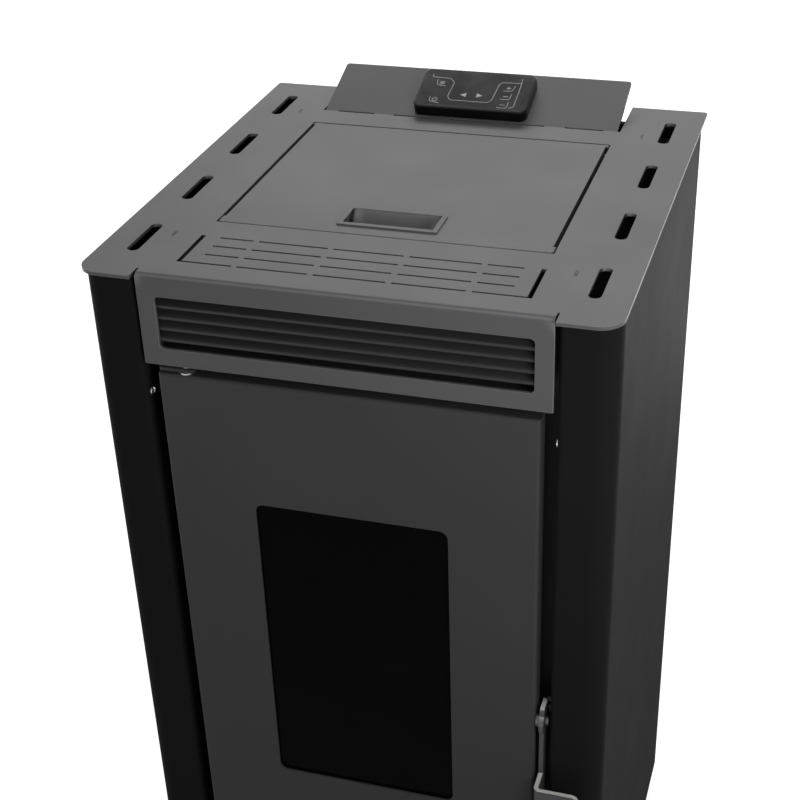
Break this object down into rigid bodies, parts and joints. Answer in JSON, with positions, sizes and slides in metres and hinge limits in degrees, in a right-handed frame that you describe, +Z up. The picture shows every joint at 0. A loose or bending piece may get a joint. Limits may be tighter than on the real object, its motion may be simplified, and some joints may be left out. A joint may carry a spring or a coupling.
{
  "type": "pellet stove",
  "caption": "Free-standing pellet stove with a glass door, lift-handle latch, hinged hopper lid, louvred warm-air grille, touch display and slotted top plate.",
  "frame": {"origin": "on the floor, under the middle of the stove", "axes": "+Z up, -Y out of the front (door side), +X to the right seen from the front"},
  "size_m": [0.45, 0.4965, 0.891],
  "materials": {
    "grey_casing": "fine satin powder coat",
    "black_casing": "fine satin powder coat",
    "black_door": "satin stove paint",
    "louvre_paint": "fine satin powder coat",
    "handle_paint": "satin stove paint",
    "zinc_steel": "galvanised sheet",
    "bright_steel": "zinc plated",
    "firebox_steel": "heat-resistant paint",
    "stainless": "heat-tinted stainless",
    "cast_liner": "rough casting",
    "black_glass": "smoked ceramic glass",
    "display_case": "gloss black moulding",
    "display_glass": "gloss touch film",
    "rope_seal": "braided glass fibre",
    "rubber_seal": "matte",
    "fan_casing": "galvanised sheet",
    "fan_wheel": "pressed blades",
    "motor": "matte paint",
    "black_plastic": "fine texture",
    "board_green": "printed circuit board"
  },
  "bodies": {
    "stove": {"top_plate": "grey_casing", "louvre_grille": "louvre_paint", "lid_hinge_brackets": "zinc_steel", "lid_gasket": "rubber_seal", "display_housing": "display_case", "display_film": "display_glass", "side_panel_left": "black_casing", "side_panel_right": "black_casing", "back_panel": "zinc_steel", "lower_front_panel": "black_door", "base_plate": "zinc_steel", "levelling_feet": "black_plastic", "side_partitions": "zinc_steel", "front_posts": "firebox_steel", "front_rails": "firebox_steel", "firebox_shell": "firebox_steel", "rear_liner": "cast_liner", "side_liners": "cast_liner", "baffle_plate": "cast_liner", "exchanger_tubes": "firebox_steel", "warm_air_duct": "zinc_steel", "air_riser": "zinc_steel", "burn_pot_holder": "firebox_steel", "ash_pan": "stainless", "igniter": "stainless", "hopper": "zinc_steel", "hopper_grille": "bright_steel", "auger_tube": "firebox_steel", "auger_gearmotor": "motor", "pellet_chute": "firebox_steel", "blower_housing": "fan_casing", "blower_motor": "motor", "exhaust_housing": "fan_casing", "exhaust_motor": "motor", "flue_outlet": "firebox_steel", "air_intake_pipe": "zinc_steel", "door_hinge_brackets": "firebox_steel", "catch_pin": "bright_steel", "control_board": "board_green", "pressure_switch": "black_plastic", "power_inlet": "black_plastic", "overheat_thermostat": "black_plastic", "casing_screws": "bright_steel"},
    "lid": {"hopper_lid": "grey_casing", "lid_pull": "grey_casing", "lid_hinge_pins": "bright_steel"},
    "door": {"door_panel": "black_door", "door_inner_frame": "firebox_steel", "door_glass": "black_glass", "glass_gasket": "rope_seal", "glass_clips": "bright_steel", "door_gasket": "rope_seal", "door_hinge_pins": "bright_steel", "latch_pivot_bolt": "bright_steel"},
    "latch": {"latch_lever": "handle_paint"},
    "burn_pot": {"burn_pot": "cast_liner"},
    "auger": {"auger": "stainless"},
    "blower_impeller": {"blower_impeller": "fan_wheel"},
    "exhaust_impeller": {"exhaust_impeller": "stainless"}
  },
  "joints": [
    {"name": "lid_hinge", "type": "hinge", "parent": "stove", "child": "lid", "pos_m": [0, 0.125, 0.8535], "axis": [-1, 0, 0], "range_deg": [0, 95]},
    {"name": "door_hinge", "type": "hinge", "parent": "stove", "child": "door", "pos_m": [-0.14, -0.216, 0.4956], "axis": [0, 0, -1], "range_deg": [0, 110]},
    {"name": "latch_pivot", "type": "hinge", "parent": "door", "child": "latch", "pos_m": [0.1698, -0.216, 0.456], "axis": [-1, 0, 0], "range_deg": [0, 35]},
    {"name": "burn_pot_lift", "type": "slide", "parent": "stove", "child": "burn_pot", "axis": [0, 0, 1], "range_m": [0, 0.06]},
    {"name": "auger_spin", "type": "hinge", "parent": "stove", "child": "auger", "pos_m": [0, 0.15, 0.452], "axis": [0, -0.866, 0.5], "continuous": true},
    {"name": "blower_spin", "type": "hinge", "parent": "stove", "child": "blower_impeller", "pos_m": [-0.11, -0.08, 0.112], "axis": [1, 0, 0], "continuous": true},
    {"name": "exhaust_spin", "type": "hinge", "parent": "stove", "child": "exhaust_impeller", "pos_m": [0.095, 0, 0.29], "axis": [0, 1, 0], "continuous": true}
  ]
}
